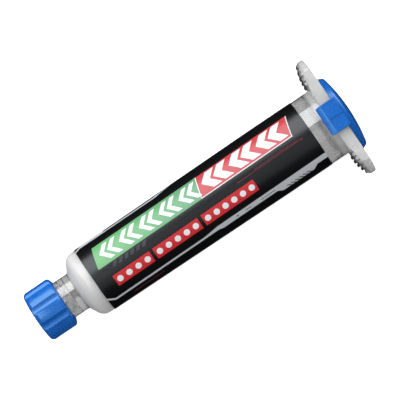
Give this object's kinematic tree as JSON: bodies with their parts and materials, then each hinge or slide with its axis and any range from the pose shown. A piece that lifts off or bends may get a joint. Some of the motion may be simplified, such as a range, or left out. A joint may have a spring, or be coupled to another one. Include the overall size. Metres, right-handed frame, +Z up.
{
  "type": "flux syringe",
  "caption": "Filled flux dispensing barrel lying on its side, with a fluted cap on its luer-lock tip, a printed film wrap, winged finger flange and clip-on end cap.",
  "frame": {"origin": "middle of the overall length and width, on the surface that the syringe lies on, under the lower clip of the end cap", "axes": "+X along the barrel from the tip to the end cap, +Y along the wings of the finger flange, +Z up"},
  "size_m": [0.098, 0.0346, 0.0224],
  "materials": {
    "clear_barrel": "clear moulded polypropylene",
    "blue_cap": "satin moulded polyethylene",
    "white_piston": "moulded polyethylene",
    "flux": "soft cream paste",
    "film": "printed glossy film"
  },
  "bodies": {
    "barrel": {"barrel": "clear_barrel", "label": "film", "flux_paste": "flux"},
    "tip_cap": {"tip_cap": "blue_cap"},
    "end_cap": {"end_cap": "blue_cap"},
    "piston": {"piston": "white_piston"}
  },
  "joints": [
    {"name": "tip_cap_off", "type": "slide", "parent": "barrel", "child": "tip_cap", "axis": [-1, 0, 0], "range_m": [0, 0.016]},
    {"name": "end_cap_slide", "type": "slide", "parent": "barrel", "child": "end_cap", "axis": [0, 1, 0], "range_m": [-0.03, 0.03]},
    {"name": "piston_stroke", "type": "slide", "parent": "barrel", "child": "piston", "axis": [-1, 0, 0], "range_m": [0, 0.0505], "deforming": ["flux_paste"]}
  ]
}
